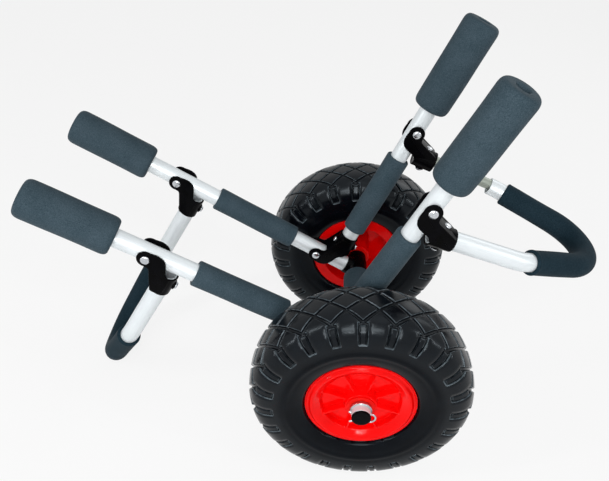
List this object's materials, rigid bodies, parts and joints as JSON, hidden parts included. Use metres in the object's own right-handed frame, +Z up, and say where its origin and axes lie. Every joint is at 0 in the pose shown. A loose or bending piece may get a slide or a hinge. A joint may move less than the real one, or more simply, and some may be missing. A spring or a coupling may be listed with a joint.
{
  "type": "paddleboard cart",
  "caption": "Folding board cart with red-rimmed knobbly wheels, padded side arms and padded U-bars on hinged brackets, shown open.",
  "frame": {"origin": "on the ground, under the middle of the open cart", "axes": "+Z up; +X from the left U-bar to the right U-bar, across the axle; the axle runs along Y"},
  "size_m": [0.6784, 0.3902, 0.4996],
  "materials": {
    "anodised_tube": "satin",
    "zinc_steel": "gloss",
    "arm_foam": "matte",
    "tyre_rubber": "satin",
    "red_plastic": "gloss",
    "black_nylon": "satin",
    "bearing_plastic": "satin"
  },
  "bodies": {
    "cart": {"axle_tube": "anodised_tube", "axle_foam_sleeve": "arm_foam", "hub_connector_near": "black_nylon", "wheel_spacer_near": "black_nylon", "axle_collar_near": "zinc_steel", "axle_cap_near": "black_nylon", "left_arm_tube_near": "anodised_tube", "left_arm_sleeve_near": "arm_foam", "left_arm_grip_near": "arm_foam", "left_bolt_near": "zinc_steel", "inner_bolt_near": "zinc_steel", "hub_connector_far": "black_nylon", "wheel_spacer_far": "black_nylon", "axle_collar_far": "zinc_steel", "axle_cap_far": "black_nylon", "left_arm_tube_far": "anodised_tube", "left_arm_sleeve_far": "arm_foam", "left_arm_grip_far": "arm_foam", "left_bolt_far": "zinc_steel", "inner_bolt_far": "zinc_steel"},
    "wheel_near": {"tyre_near": "tyre_rubber", "rim_near": "red_plastic", "outer_bush_near": "bearing_plastic", "inner_bush_near": "bearing_plastic"},
    "clip_slide_near": {"hairpin_clip_near": "zinc_steel"},
    "wheel_far": {"tyre_far": "tyre_rubber", "rim_far": "red_plastic", "outer_bush_far": "bearing_plastic", "inner_bush_far": "bearing_plastic"},
    "clip_slide_far": {"hairpin_clip_far": "zinc_steel"},
    "left_u_fold": {"left_u_tube": "anodised_tube", "left_u_foam": "arm_foam", "left_bracket_near": "black_nylon", "left_bracket_far": "black_nylon", "left_screw_near": "zinc_steel", "left_screw_far": "zinc_steel"},
    "right_arm_fold": {"right_arm_tube_near": "anodised_tube", "right_arm_tube_far": "anodised_tube", "right_arm_sleeve_near": "arm_foam", "right_arm_sleeve_far": "arm_foam", "right_arm_grip_near": "arm_foam", "right_arm_grip_far": "arm_foam", "inner_bracket_near": "black_nylon", "inner_bracket_far": "black_nylon", "inner_screw_near": "zinc_steel", "inner_screw_far": "zinc_steel", "right_bolt_near": "zinc_steel", "right_bolt_far": "zinc_steel"},
    "right_u_fold": {"right_u_tube": "anodised_tube", "right_u_foam": "arm_foam", "right_u_rod": "anodised_tube", "right_bracket_near": "black_nylon", "right_bracket_far": "black_nylon", "right_screw_near": "zinc_steel", "right_screw_far": "zinc_steel"}
  },
  "joints": [
    {"name": "left_u_fold", "type": "hinge", "parent": "cart", "child": "left_u_fold", "pos_m": [-0.19601, 0, 0.24018], "axis": [0, 1, 0], "range_deg": [0, 78]},
    {"name": "right_arm_fold", "type": "hinge", "parent": "cart", "child": "right_arm_fold", "pos_m": [0.00251, 0, 0.15657], "axis": [0, -1, 0], "range_deg": [0, 78]},
    {"name": "right_u_fold", "type": "hinge", "parent": "right_arm_fold", "child": "right_u_fold", "pos_m": [0.1048, 0, 0.35174], "axis": [0, -1, 0], "range_deg": [0, 73]},
    {"name": "wheel_spin_near", "type": "hinge", "parent": "cart", "child": "wheel_near", "pos_m": [0.06561, -0.14315, 0.12999], "axis": [0, 1, 0], "continuous": true},
    {"name": "clip_pull_near", "type": "slide", "parent": "cart", "child": "clip_slide_near", "axis": [1, 0, 0], "range_m": [0, 0.034]},
    {"name": "wheel_spin_far", "type": "hinge", "parent": "cart", "child": "wheel_far", "pos_m": [0.06561, 0.14315, 0.12999], "axis": [0, 1, 0], "continuous": true},
    {"name": "clip_pull_far", "type": "slide", "parent": "cart", "child": "clip_slide_far", "axis": [1, 0, 0], "range_m": [0, 0.034]}
  ]
}
